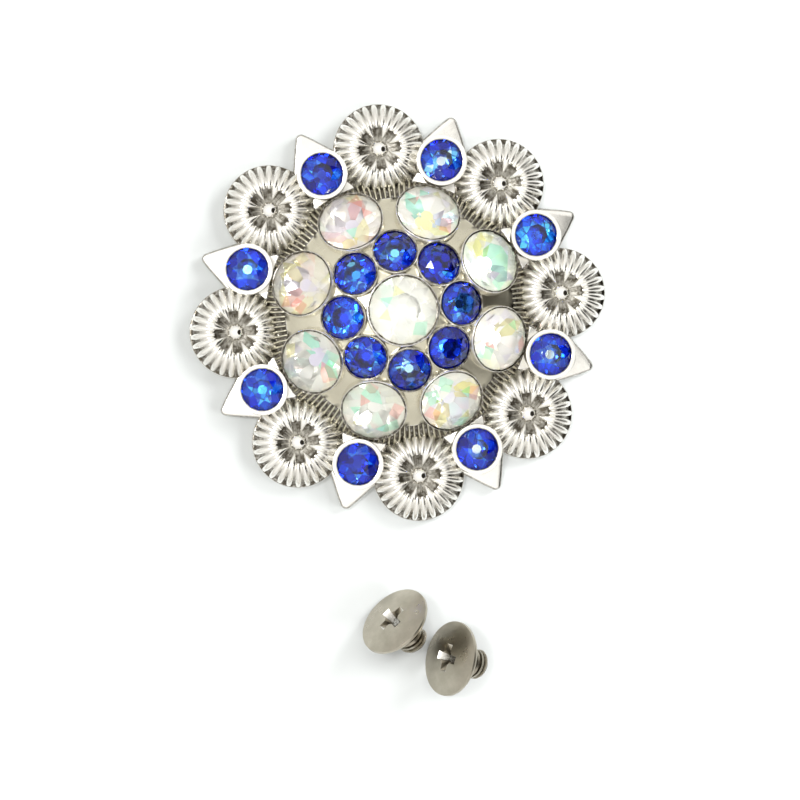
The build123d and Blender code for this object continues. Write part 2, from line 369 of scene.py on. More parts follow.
# name: bright, dull, painted shade colour, roughness, patch scale, bump, peel scale, pit depth
finishes = {
    "bright_nickel": ((0.96, 0.945, 0.90), (0.88, 0.86, 0.81), painted_shade, (0.20, 0.32),
                      260.0, 0.35, 1600.0, 0.4),
    "bead_nickel": ((1.0, 0.985, 0.95), (0.92, 0.90, 0.86), painted_shade, (0.05, 0.10),
                    260.0, 0.1, 1600.0, 0.0),
    # The star's finish is rougher, and its darker colour is painted shade in the sunk star.
    "star_nickel": ((0.80, 0.78, 0.71), (0.68, 0.66, 0.60), painted_shade, (0.42, 0.55),
                    260.0, 0.35, 1600.0, 0.4),
    "satin_nickel": ((0.70, 0.665, 0.53), (0.58, 0.55, 0.44), (0.035, 0.03, 0.02), (0.24, 0.36),
                     240.0, 0.5, 3200.0, 0.4),
    "raw_casting": ((0.50, 0.49, 0.47), (0.36, 0.35, 0.34), (0.12, 0.11, 0.10), (0.42, 0.6),
                    180.0, 1.0, 1400.0, 0.4),
    "screw_nickel": ((0.52, 0.48, 0.40), (0.40, 0.37, 0.30), (0.07, 0.055, 0.035), (0.26, 0.36),
                     400.0, 0.25, 5200.0, 0.0),
}
bright_nickel, bead_nickel, star_nickel, satin_nickel, raw_casting, screw_nickel = [
    metal(name, *values) for name, values in finishes.items()]
print("metals", [m.name for m in bpy.data.materials])

# %% [markdown]
# ## Cut glass
# Each stone is glass in front and silvered behind. Light goes in through the crown, bounces
# between the silvered facets and comes out somewhere else, which makes the sparkle. So the crown
# is a real glass shader and the back facets are a mirror that is seen through it. The pale stones
# have a rainbow coating: every facet takes one tint, from the face attribute `facet`.

# %% Group: cut facets
colour_labels = ("Main", "Tint 1", "Tint 2", "Tint 3", "Tint 4", "Rim Color")


def facet_group():
    """A main colour with a share of facets in four other tints, and a shade painted at the rim."""
    tree, given = new_tree("Cut facets", [
        ("Facet", "Float", 0.0), ("Rim", "Float", 0.0), ("Share", "Float", 0.4),
        *[(label, "Color") for label in colour_labels],
    ], [("Color", "Color")], "ShaderNodeTree")
    colour = given["Main"]
    for k in range(4):
        edge = calc(tree, "MULTIPLY_ADD", given["Share"], -(4 - k) / 4, 1.0)
        over = calc(tree, "GREATER_THAN", given["Facet"], edge)
        colour = blend(tree, over, colour, given[f"Tint {k + 1}"])
    return close_tree(tree, blend(tree, given["Rim"], colour, given["Rim Color"]))


facets = facet_group()
print("group", facets.name)

# %% Glass and foil materials
def facet_colours(tree, share, colours):
    """The group in a material, fed by the marks that each facet carries."""
    facet, rim = [add_node(tree, "ShaderNodeAttribute", attribute_name=mark).outputs["Fac"]
                  for mark in ("facet", "rim")]
    tints = {label: (*colour, 1) for label, colour in zip(colour_labels, colours)}
    return add_node(tree, "ShaderNodeGroup", {"Facet": facet, "Rim": rim, "Share": share, **tints},
                    node_tree=facets)


def glass(name, share, colours, rough, shine):
    """The front of a stone."""
    material, tree, shader = new_material(name)
    feed(tree, shader, {
        "Transmission Weight": 1.0, "IOR": 1.6, "Roughness": rough, "Specular IOR Level": shine,
        "Base Color": facet_colours(tree, share, colours)})
    return material


def foil(name, share, colours, rough, silver):
    """The silvered back of a stone, seen through the glass."""
    material, tree, shader = new_material(name)
    place = add_node(tree, "ShaderNodeTexCoord").outputs["Object"]
    grain = add_node(tree, "ShaderNodeTexNoise", {"Vector": place, "Scale": 900.0})
    feed(tree, shader, {
        "Metallic": silver, "Roughness": remap(tree, grain, 0.0, 1.0, rough * 0.5, rough * 1.5),
        "Base Color": facet_colours(tree, share, colours)})
    return material


# the share of tinted facets, then the colours: main, four tints, painted rim shade
pale_front = glass("pale_glass", 0.5, [
    (1, 1, 0.98), (0.40, 1, 0.70), (1, 0.93, 0.42), (0.84, 0.80, 1), (1, 0.42, 0.38),
    (0.95, 0.93, 0.84)], rough=0.01, shine=0.5)
pale_back = foil("rainbow_foil", 0.25, [
    (1, 1, 0.98), (0.56, 1, 0.85), (1, 0.96, 0.60), (0.84, 0.80, 0.98), (1, 0.70, 0.66),
    (1, 0.99, 0.96)], rough=0.14, silver=0.52)
blue_front = glass("blue_glass", 0.6, [
    (0.010, 0.060, 0.97), (0.006, 0.025, 0.45), (0.06, 0.42, 1), (0.30, 0.88, 1),
    (0.90, 1, 1), (0.004, 0.012, 0.18)], rough=0.0, shine=0.1)
blue_back = foil("blue_foil", 0.5, [
    (0.60, 0.90, 1), (0.15, 0.24, 0.62), (0.80, 1, 1), (0.10, 0.16, 0.55), (0.90, 1, 1),
    (0.20, 0.30, 0.65)], rough=0.06, silver=0.92)
print("glass and foil ready")

# %% [markdown]
# # Trees that repeat things
# Nearly everything on the concho is one small shape turned round an axis: ribs in a lobe, ticks in
# the band, tabs and cups in their rings. So one tree does that job. It makes as many points as
# copies at the axis, turns each by its share of a circle, and puts the shape on it. The copies
# are made real, because the export drops instances, and the result is baked to a plain mesh.

# %% Tree: turned copies
def random_between(tree, low, high, seed):
    """A fixed random number for each point, instance or face."""
    return add_node(tree, "FunctionNodeRandomValue", {2: low, 3: high, "Seed": seed},
                    data_type="FLOAT").outputs[1]


def angle_of_copy(tree, given):
    """The turn of each copy: its share of a circle, from the first angle on."""
    share = calc(tree, "DIVIDE", 2 * pi, given["Count"])
    number = add_node(tree, "GeometryNodeInputIndex")
    return calc(tree, "MULTIPLY_ADD", number, share, given["First Angle"])


def turned_copies_tree():
    tree, given = new_tree("Turned copies", [
        ("Piece", "Object"), ("Count", "Int", 8), ("First Angle", "Float", 0.0),
        ("Size Spread", "Float", 0.0), ("Seed", "Int", 1), ("Material", "Material"),
    ])
    piece = add_node(tree, "GeometryNodeObjectInfo", {"Object": given["Piece"]})
    points = add_node(tree, "GeometryNodePoints", {"Count": given["Count"]})
    turn = add_node(tree, "ShaderNodeCombineXYZ", {"Z": angle_of_copy(tree, given)})
    size = random_between(tree, calc(tree, "SUBTRACT", 1.0, given["Size Spread"]),
                          calc(tree, "ADD", 1.0, given["Size Spread"]), given["Seed"])
    scale = add_node(tree, "ShaderNodeCombineXYZ", {"X": 1.0, "Y": size, "Z": size})
    copies = add_node(tree, "GeometryNodeInstanceOnPoints", {
        "Points": points, "Instance": piece.outputs["Geometry"], "Rotation": turn, "Scale": scale})
    real = add_node(tree, "GeometryNodeRealizeInstances", {0: copies})
    return close_tree(tree, add_node(tree, "GeometryNodeSetMaterial", {
        "Geometry": real, "Material": given["Material"]}))


def set_materials(mesh, materials):
    """The materials of a mesh, in this order."""
    mesh.materials.clear()
    for material in materials:
        mesh.materials.append(material)


def close_empty_slots(mesh):
    """Takes out material slots that hold nothing and renumbers the faces."""
    kept = [k for k, material in enumerate(mesh.materials) if material]
    if len(kept) == len(mesh.materials):
        return
    numbers = [kept.index(f.material_index) if f.material_index in kept else 0
               for f in mesh.polygons]
    set_materials(mesh, [mesh.materials[k] for k in kept])
    for face, number in zip(mesh.polygons, numbers):
        face.material_index = number


copies_tree = turned_copies_tree()
print("tree", copies_tree.name)

# %% Bake a tree to a plain mesh
def freeze(piece):
    """Keeps what a piece's modifier makes as its plain mesh."""
    ready = piece.evaluated_get(bpy.context.evaluated_depsgraph_get())
    mesh = bpy.data.meshes.new_from_object(ready)
    piece.modifiers.clear()
    piece.data = mesh
    mesh.name = piece.name


def bake_tree(name, tree, values):
    """Runs a tree on an empty carrier and keeps the result as a plain mesh object."""
    carrier = show(name, bpy.data.meshes.new(name))
    modifier = carrier.modifiers.new("tree", "NODES")
    modifier.node_group = tree
    for item in tree.interface.items_tree:
        if item.in_out == "INPUT" and item.name in values:
            modifier[item.identifier] = values[item.name]
    freeze(carrier)
    close_empty_slots(carrier.data)
    return carrier


def drop(*objects):
    """Removes shapes that were only needed to make others."""
    for each in objects:
        bpy.data.objects.remove(each, do_unlink=True)


def turned_copies(name, piece, count, first=0.0, material=None, spread=0.0, seed=1):
    """Copies of a piece round the Z axis, in its place. The first angle is in degrees."""
    made = bake_tree(name, copies_tree, {
        "Piece": piece, "Count": count, "First Angle": radians(first), "Size Spread": spread,
        "Seed": seed, "Material": material})
    drop(piece)
    return made


print("ready to bake")

# %% [markdown]
# # The casting: dome, band and hollow back
# The middle of the concho is a low dome on a plate, hollow behind to save metal. All of it is
# round, so it is turned on the lathe from one profile that goes up the outside and back down the
# inside. The stones sit deeper than the dome's skin, so their seats are cut out of it: a glass
# stone with metal skin running through it would show that skin. The cutters are a little larger
# than the stones and come from the same sizes.

# %% Sizes of the dome and the stones' seats
dome_top, dome_sphere, dome_foot_radius, dome_foot_height = 5.6, 19.5, 10.8, 2.336
band_top_radius, band_foot_radius = 10.88, 12.6
rim_thickness, plate_radius = 1.2, 14.4
hollow_sphere, hollow_radius = 17.29, 10.29
sphere_height = dome_top - dome_sphere
girdle, pavilion_slope = 0.2, tan(radians(39))


def on_dome(pitch, rise):
    """Height and lean of a stone that stands square on the dome."""
    lean = asin(pitch / (dome_sphere + rise))
    return sphere_height + (dome_sphere + rise) * cos(lean), lean


Ring = namedtuple("Ring", "radius count first pitch height lean wall")
inner_pitch, outer_pitch = 5.6, 9.67
inner_height, inner_lean = on_dome(inner_pitch, 0.55)
ring_height, ring_lean = on_dome(outer_pitch, 0.6)
settings = {
    "centre_crystal": Ring(3.17, 1, 0.0, 0.0, 6.35, 0.0, 0.20),
    "inner_stone": Ring(2.0, 8, 0.0, inner_pitch, inner_height, inner_lean, 0.14),
    "ring_crystal": Ring(2.97, 8, 22.5, outer_pitch, ring_height, ring_lean, 0.15),
    "outer_stone": Ring(2.0, 8, 22.5, 14.95, 2.45, 0.0, 0.38),
}
for label, ring in settings.items():
    print(label, ring.count, "of", 2 * ring.radius, "mm, girdle at", round(ring.height, 2),
          "lean", round(degrees(ring.lean), 1))

# %% Seat, cut and join pieces
def seat(piece, ring):
    """Moves a piece from the origin to a ring's seat on the +X side."""
    place = Matrix.Translation(Vector((ring.pitch, 0, ring.height)) * mm)
    piece.data.transform(place @ Matrix.Rotation(ring.lean, 4, "Y"))
    return piece


def cut(piece, cutter):
    """Takes the cutter's shape out of a piece and keeps the result as a plain mesh."""
    modifier = piece.modifiers.new("cut", "BOOLEAN")
    modifier.operation = "DIFFERENCE"
    modifier.solver = "EXACT"
    modifier.object = cutter
    freeze(piece)
    return piece


def stone_cutter(radius):
    """Room for a stone with a little play."""
    wide, low = radius + 0.03, -girdle - 0.1
    floor, above = low - 0.8 * radius * pavilion_slope, 2.5
    return turned("cutter", [(0, above), (wide, above), (wide, low), (radius * 0.75, floor),
                             (0, floor)], sides=48)


def joined(name, pieces):
    """Several objects as one."""
    mesh = bpy.data.meshes.new(name)
    set_materials(mesh, pieces[0].data.materials)
    work = bmesh.new()
    for piece in pieces:
        work.from_mesh(piece.data)
    work.to_mesh(mesh)
    work.free()
    drop(*pieces)
    return show(name, mesh)


def ring_cutters(label):
    """Room for every stone of one ring."""
    ring = settings[label]
    return turned_copies("cutters", seat(stone_cutter(ring.radius), ring), ring.count, ring.first)


on_the_dome = ("centre_crystal", "inner_stone", "ring_crystal")
seats = joined("seats", [ring_cutters(label) for label in on_the_dome])
print("seats for the stones on the dome", len(seats.data.polygons), "faces")

# %% Turn the dome and cut the seats
def arc(sphere, reach, steps=24):
    """Half the section of a dome, from its top out to a reach."""
    turns = [asin(reach / sphere) * k / steps for k in range(steps + 1)]
    return [(sphere * sin(turn), sphere_height + sphere * cos(turn)) for turn in turns]


plate_top, plate_back = rim_thickness - 0.25, 0.04
profile = [(hollow_radius - 0.06, plate_back), (plate_radius, plate_back),
           (plate_radius, plate_top), (band_foot_radius + 0.05, plate_top),
           (band_foot_radius, plate_top - 0.01),
           (band_foot_radius - 0.1, plate_top - 0.02),
           (band_top_radius - 0.06, dome_foot_height - 0.2),
           (band_top_radius - 0.02, dome_foot_height - 0.02)]
profile += arc(dome_sphere, dome_foot_radius)[::-1]
inside = arc(hollow_sphere, hollow_radius)[:-1] + [(hollow_radius, plate_back + 0.06)]
shell = turned("dome_and_back", inside + profile, sides=192)
shell = cut(shell, seats)
tidy(shell.data, 30.0)
print("shell", len(shell.data.polygons), "faces after the seats were cut")

# %% Choose a finish face by face
def paint(piece, materials, choose):
    """Gives each face the material whose number choose(centre in mm, normal) returns."""
    set_materials(piece.data, materials)
    for face in piece.data.polygons:
        face.material_index = choose(face.center / mm, face.normal)


def shell_finish(place, normal):
    """Satin on the dome, raw below and in the hollow, bright between."""
    reach = place.xy.length
    from_sphere = (place - Vector((0, 0, sphere_height))).length
    in_hollow = from_sphere < hollow_sphere + 0.3 and reach < hollow_radius + 0.1
    if in_hollow or place.z < plate_back + 0.02:
        return 2
    return 0 if reach < dome_foot_radius + 0.02 and from_sphere > dome_sphere - 0.5 else 1


def back_finish(place, normal):
    """The underside stays as it was cast, the rest is plated."""
    return 1 if normal.z < -0.9 and place.z < 0.1 else 0


def mark_painted_shade(piece, depth_of):
    """Writes the mask of painted shade, from 0 where none is painted to 1 where it is darkest."""
    layer = piece.data.attributes.new("hollow", "FLOAT", "POINT")
    for vertex, value in zip(piece.data.vertices, layer.data):
        value.value = min(1.0, max(0.0, depth_of(vertex.co / mm)))


def band_floor(p):
    """Painted shade: 1 on the shell's slope from the dome to the plate, in the gaps of the ticks.
    """
    on_slope = dome_foot_radius < p.xy.length < band_foot_radius + 0.02 and p.z > 0.5
    return 1.0 if on_slope else 0.0


paint(shell, [satin_nickel, bright_nickel, raw_casting], shell_finish)
mark_painted_shade(shell, band_floor)
finish_of_faces = [face.material_index for face in shell.data.polygons]
print("faces by finish", [finish_of_faces.count(number) for number in range(3)])

# %% [markdown]
# ## Milled band
# A ring of fine raised ticks runs round the foot of the dome, like the edge of a coin. One tick is
# a small rounded bar that leans down the band, a few dozen faces and no more, because the ring
# needs so many. They vary a little in size, as in a casting from a worn mould.

# %% One ridge, and the band of ticks
def ridge(name, stations, steps=6):
    """A rounded bar along +X, through stations of (x, foot height, top height, half width)."""
    bluntness = 0.45
    rows = []
    for x, foot, top, half in stations:
        rows.append([])
        for k in range(steps + 1):
            turn = pi * k / steps
            rise = sin(turn) ** bluntness if 0 < k < steps else 0.0
            rows[-1].append((x, half * cos(turn), foot + (top - foot) * rise))
    return lofted(name, rows, 50.0)


def band_height(radius):
    """Height of the band's surface, through the tops of the ticks."""
    slope = (dome_foot_height - rim_thickness) / (band_foot_radius - band_top_radius)
    return dome_foot_height - (radius - band_top_radius) * slope


tick_count, tick_root = 156, 0.3
one_tick = ridge("tick", [
    (radius, band_height(radius) - tick_root, band_height(radius) + rise, half)
    for radius, rise, half in ((10.84, -0.02, 0.09), (10.95, 0.08, 0.115), (11.8, 0.10, 0.125),
                               (12.5, 0.08, 0.13), (12.62, -0.05, 0.11))])
# Painted shade on each tick, darkest at its foot, between the ticks.
mark_painted_shade(one_tick, lambda p: 1.0 - (p.z - band_height(p.x) + 0.09) / 0.16)
band = turned_copies("milled_band", one_tick, tick_count, material=satin_nickel, spread=0.015,
                     seed=4)
band = cut(band, seats)
band.data.shade_smooth()
band.data.set_sharp_from_angle(angle=radians(50))
print("band", len(band.data.polygons), "faces")

# %% [markdown]
# ## Berry lobes
# Each lobe is a round button whose edge is gathered into 28 ribs, with a sunk eight-rayed star
# and a bead in its middle. The plain parts are turned. The ribs follow a path over the crest and
# down to the flange, so they are a curve with a round profile in Geometry Nodes: its radius
# follows a curve widget, thin at the crest and blunt at the foot. Eight wedges stand between
# the petals of the star, and eight thin rays run out from the bead.

# %% Tree: one rib
def rib_tree():
    tree, given = new_tree("Rib", [
        ("Start", "Vector"), ("Bend", "Vector"), ("End", "Vector"),
        ("Thickness", "Float", 0.0003),
    ])
    path = add_node(tree, "GeometryNodeCurveQuadraticBezier", {
        "Resolution": 7, "Start": given["Start"], "Middle": given["Bend"], "End": given["End"]})
    along = add_node(tree, "GeometryNodeSplineParameter")
    shape = add_node(tree, "ShaderNodeFloatCurve", {"Value": along})
    curve = shape.mapping.curves[0]
    curve.points[0].location = (0.0, 0.35)
    curve.points[1].location = (1.0, 0.60)
    for place in ((0.12, 0.60), (0.5, 0.76), (0.88, 0.80)):
        curve.points.new(*place)
    shape.mapping.update()
    wide = calc(tree, "MULTIPLY", shape, given["Thickness"])
    round_profile = add_node(tree, "GeometryNodeCurvePrimitiveCircle", {
        "Resolution": 8, "Radius": 1.0})
    return close_tree(tree, add_node(tree, "GeometryNodeCurveToMesh", {
        "Curve": path, "Profile Curve": round_profile, "Scale": wide, "Fill Caps": True}))


rib = bake_tree("rib", rib_tree(), {
    "Start": Vector((1.98, 0, 2.08)) * mm, "Bend": Vector((2.95, 0, 2.10)) * mm,
    "End": Vector((4.12, 0, 1.02)) * mm, "Thickness": 0.41 * mm})
tidy(rib.data, 60.0)
print("rib", len(rib.data.polygons), "faces")

# %% Base and star of one lobe
lobe_count, lobe_radius, lobe_pitch, rib_count, ray_count = 8, 4.35, 15.65, 28, 8
lobe_base = turned("lobe_base", [
    (0, 0), (lobe_radius - 0.08, 0), (lobe_radius, 0.08), (lobe_radius, 0.95),
    (lobe_radius - 0.07, 1.03), (lobe_radius - 0.20, 1.04), (4.0, 1.14),
    (3.5, 1.56), (3.0, 2.0), (2.5, 2.15), (2.2, 2.1), (2.02, 1.86), (1.5, 1.70), (0.95, 1.58),
    (0.84, 1.56), (0, 1.6)], sides=96)


def lobe_base_shade(p):
    """Painted shade between the feet of the ribs and in the star, none on the crest and the side.
    """
    reach = p.xy.length
    if p.z < 0.5 or reach > lobe_radius - 0.05:
        return 0.0
    return 0.1 + 0.6 * (reach - 2.6) if reach > 2.1 else 0.5 + 0.6 * (reach - 0.6) / 1.4


mark_painted_shade(lobe_base, lobe_base_shade)
wedge = ridge("wedge", [(0.95, 1.5, 1.68, 0.04), (1.15, 1.5, 1.86, 0.10), (1.6, 1.6, 2.08, 0.25),
                        (2.05, 1.7, 2.24, 0.42), (2.35, 1.8, 2.24, 0.46)])
ray = ridge("ray", [(0.6, 1.5, 1.70, 0.1), (1.0, 1.5, 1.72, 0.07), (1.6, 1.6, 1.84, 0.05)], steps=4)
# The rays lie in the sunk star, so they carry some painted shade.
mark_painted_shade(ray, lambda p: 0.3)
print("star of", ray_count, "wedges and rays, ready on the lobe's base")

# %% Bead, and all the lobes
bead_radius, bead_height = 0.88, 1.36
bead_arc = [(bead_radius * sin(turn), bead_height - bead_radius * cos(turn))
            for turn in [pi * k / 16 for k in range(1, 16)]]
bead = turned("bead", [(0, bead_height - bead_radius)] + bead_arc
              + [(0, bead_height + bead_radius)], sides=24, crease=60.0)
one_lobe = joined("lobe", [
    turned_copies("ribs", rib, rib_count, material=bright_nickel, spread=0.012, seed=7),
    turned_copies("wedges", wedge, ray_count, 180 / ray_count, material=bright_nickel),
    turned_copies("rays", ray, ray_count, material=bright_nickel),
    lobe_base, bead])
one_lobe.data.transform(Matrix.Translation((lobe_pitch * mm, 0, 0)))
lobes = turned_copies("berry_lobes", one_lobe, lobe_count, material=bright_nickel)


def lobe_finish(place, normal):
    """The bead is polished best; the sunk star misses the wheel and is painted darker as shade."""
    apart = 2 * pi / lobe_count
    heading = round(atan2(place.y, place.x) / apart) * apart
    reach = (place.xy - lobe_pitch * Vector((cos(heading), sin(heading)))).length
    if place.z > 1.66 and reach < bead_radius - 0.04:
        return 3
    return 2 if 1.4 < place.z < 1.9 and reach < 2.05 else back_finish(place, normal)


paint(lobes, [bright_nickel, raw_casting, star_nickel, bead_nickel], lobe_finish)
print("lobes", len(lobes.data.polygons), "faces")

# %% [markdown]
# ## Pointed tabs
# Between each two lobes a pointed tab carries a blue stone. It is a rounded triangle, polished flat
# on top, with a soft edge on which shade is painted as a darker band. Its outline can be drawn in
# from the edge by any distance and still keep the same number of points, so the tab is a stack
# of such outlines with faces between.

# %% Tab
tab_base, tab_tip, tab_half, tab_rounding = 12.6, 19.4, radians(37.5), 0.55
tab_waist, tab_top = 0.28, 1.02


def tab_outline(inset):
    """Points round a tab at a distance inside its edge, from its base on one side to the other."""
    rounding = max(0.08, tab_rounding - inset)
    sharp = tab_tip + tab_rounding * (1 / sin(tab_half) - 1) - inset / sin(tab_half)
    centre = sharp - rounding / sin(tab_half)
    tip = [(centre + rounding * cos(turn), rounding * sin(turn))
           for turn in [(-1 + 2 * k / 8) * (pi / 2 - tab_half) for k in range(9)]]
    flank = []
    for k in range(9):
        part = k / 9
        x = tab_base + (tip[-1][0] - tab_base) * part
        flank.append((x, (sharp - x) * tan(tab_half) - tab_waist * sin(pi * part) ** 2))
    return [(x, -y) for x, y in flank] + tip + flank[::-1]


def stack(name, levels):
    """A solid from level outlines of equal point counts, bottom to top, each with its height."""
    return lofted(name, [[(x, y, height) for x, y in outline] for outline, height in levels], 35.0)


tab = stack("tab", [(tab_outline(inset), height) for inset, height in (
    (0.05, 0.02), (0.0, 0.08), (0.0, 0.80), (0.07, 0.92), (0.15, 0.99), (0.24, tab_top))])
# Painted shade on the tab's bevel, darkest at its lower row, none on the flat top.
mark_painted_shade(tab, lambda p: 0.8 if 0.9 < p.z < 0.95 else 0.3 if 0.95 < p.z < tab_top - 0.01 else 0.0)
tabs = turned_copies("tabs", tab, 8, 22.5, material=bright_nickel)
paint(tabs, [bright_nickel, raw_casting], back_finish)
print("tabs", len(tabs.data.polygons), "faces")

# %% [markdown]
# ## Cups
# A stone is held by a thin collar whose lip is pressed in over its girdle. The collar is turned
# with a flat top and a rounded lip, and stands square on the dome like its stone. The pale ring
# and the blue ring inside it crowd each other, so each ring of collars leaves room for the
# other's stones.

# %% Cups for every ring of stones
cup_rings = []
crowded = {"ring_crystal": "inner_stone", "inner_stone": "ring_crystal"}
for label, ring in settings.items():
    inner, outer = ring.radius + 0.02, ring.radius + 0.05 + ring.wall
    foot = -1.6 if label == "outer_stone" else -0.85
    dark_reach = inner + (0.02 if label == "outer_stone" else 0.09)
    profile = [
        (outer, foot), (outer, -0.02), (outer - 0.02, 0.05), (outer - 0.05, 0.11),
        (inner + 0.08, 0.14), (inner - 0.04, 0.11), (inner - 0.04, 0.08), (inner, 0.04),
        (inner, foot)]
    cup = turned("cup", profile, sides=72, ring=True)
    # Painted shadow: the collar's inside next to the stone is dark, a line of shade at the stone's
    # edge.
    mark_painted_shade(cup, lambda p: 1.0 if p.xy.length < dark_reach else 0.0)
    collars = turned_copies("cups", seat(cup, ring), ring.count, ring.first,
                            material=bright_nickel)
    if label in crowded:
        room = ring_cutters(crowded[label])
        cut(collars, room)
        drop(room)
    cup_rings.append(collars)
cups = joined("stone_cups", cup_rings)
print("cups", len(cups.data.polygons), "faces")

# %% [markdown]
# ## Posts behind
# Two round posts stand in the hollow back, tapped for the screws. A thread is a ridge that climbs
# round the wall, so it is a spiral curve with a small diamond profile in Geometry Nodes, half of
# it sunk in the wall. The same tree makes the outside thread of the screws.

# %% Tree: thread
def thread_tree():
    tree, given = new_tree("Thread", [
        ("Radius", "Float", 0.0013), ("Length", "Float", 0.003), ("Turns", "Float", 6.0),
        ("Ridge", "Float", 0.0001),
    ])
    path = add_node(tree, "GeometryNodeCurveSpiral", {
        "Resolution": 32, "Rotations": given["Turns"], "Start Radius": given["Radius"],
        "End Radius": given["Radius"], "Height": given["Length"]})
    profile = add_node(tree, "GeometryNodeCurvePrimitiveCircle", {
        "Resolution": 4, "Radius": given["Ridge"]})
    return close_tree(tree, add_node(tree, "GeometryNodeCurveToMesh", {
        "Curve": path, "Profile Curve": profile, "Fill Caps": True}))


threads, thread_pitch = thread_tree(), 0.5
print("tree", threads.name)

# %% Two tapped posts
def thread(name, radius, start, length, depth):
    """A thread's ridge round the Z axis, from the start's height up."""
    made = bake_tree(name, threads, {"Radius": radius * mm, "Length": length * mm,
                                     "Turns": length / thread_pitch, "Ridge": depth * mm})
    tidy(made.data, 25.0)
    made.data.transform(Matrix.Translation((0, 0, start * mm)))
    return made


post_place, post_radius, post_top, bore_radius, bore_depth = 7.0, 2.3, 3.1, 1.3, 3.0
post = turned("post", [
    (post_radius, 0.05), (post_radius - 0.05, 0), (bore_radius + 0.12, 0), (bore_radius, 0.12),
    (bore_radius, bore_depth), (0.0, bore_depth), (0.0, post_top), (post_radius, post_top)],
    sides=64, ring=True)
one_post = joined("post", [post, thread("post_thread", bore_radius, 0.15, 1.9, 0.14)])
one_post.data.transform(Matrix.Translation((post_place * mm, 0, 0)))
posts = turned_copies("back_posts", one_post, 2, material=raw_casting)
print("posts", len(posts.data.polygons), "faces")

# %% [markdown]
# # The stones
# A brilliant has a flat table, a crown of stars, kites and halves, a thin girdle, and a pavilion
# of long kites and halves down to a small foot. The corners follow from the facet angles, so they
# are worked out and not drawn. Facets must stay flat, so nothing here is smoothed. Hand-set
# stones never sit quite alike: a tree puts each in its cup with its own spin and a slight tilt,
# and gives every facet a random number for its tint.

# %% One brilliant
def brilliant(name, radius):
    """Cut stone, its girdle's top at height 0, with marks for silvered facets and for rim shade."""
    crown = 0.5 * tan(radians(34))
    # reach, first angle, height and count of each ring of corners, for a stone of radius 1
    corners = [(0.5, 0.0, crown, 8), (0.7763, 22.5, 0.1907, 8), (1, 0.0, 0.0, 16),
               (1, 0.0, 0.0, 16), (0.545, 22.5, -0.3879, 8), (0.2165, 22.5, -0.625, 8)]
    points, start = [], []
    for row, (reach, first, height, count) in enumerate(corners):
        start.append(len(points))
        drop_below = girdle if row > 2 else 0.0
        for k in range(count):
            turn = radians(first + 360 * k / count)
            points.append((reach * radius * cos(turn), reach * radius * sin(turn),
                           height * radius - drop_below))
    table, star, top, low, point, foot = start
    faces = [tuple(table + k for k in range(8))]
    for k in range(8):
        after, before = (k + 1) % 8, (k - 1) % 8
        a, b, c = 2 * k, 2 * k + 1, (2 * k + 2) % 16
        faces += [(table + k, star + k, table + after),
                  (table + k, star + before, top + a, star + k),
                  (star + k, top + a, top + b), (star + k, top + b, top + c)]
    for k in range(16):
        after = (k + 1) % 16
        faces.append((top + k, low + k, low + after, top + after))
    for k in range(8):
        before = (k - 1) % 8
        a, b, c = 2 * k, 2 * k + 1, (2 * k + 2) % 16
        faces += [(point + k, low + b, low + a), (point + k, low + c, low + b),
                  (low + a, point + before, foot + before, foot + k, point + k)]
    faces.append(tuple(foot + k for k in range(8)))
    stone = mesh_piece(name, points, faces)
    for face in stone.data.polygons:
        face.use_smooth = False
    centres = [face.center / mm for face in stone.data.polygons]
    silvered = stone.data.attributes.new("foiled", "BOOLEAN", "FACE")
    silvered.data.foreach_set("value", [c.z < -girdle * 0.9 for c in centres])
    # The rim mark is where shade is painted: facets near the girdle take the darker rim tone.
    rim = stone.data.attributes.new("rim", "FLOAT", "FACE")
    near_rim = [c.xy.length / radius * 7 - 5 for c in centres]
    rim.data.foreach_set("value", [min(1.0, max(0.0, value)) for value in near_rim])
    return stone


trial = brilliant("stone", 2.0)
print("a stone has", len(trial.data.polygons), "facets, of them silvered",
      sum(v.value for v in trial.data.attributes["foiled"].data))
drop(trial)

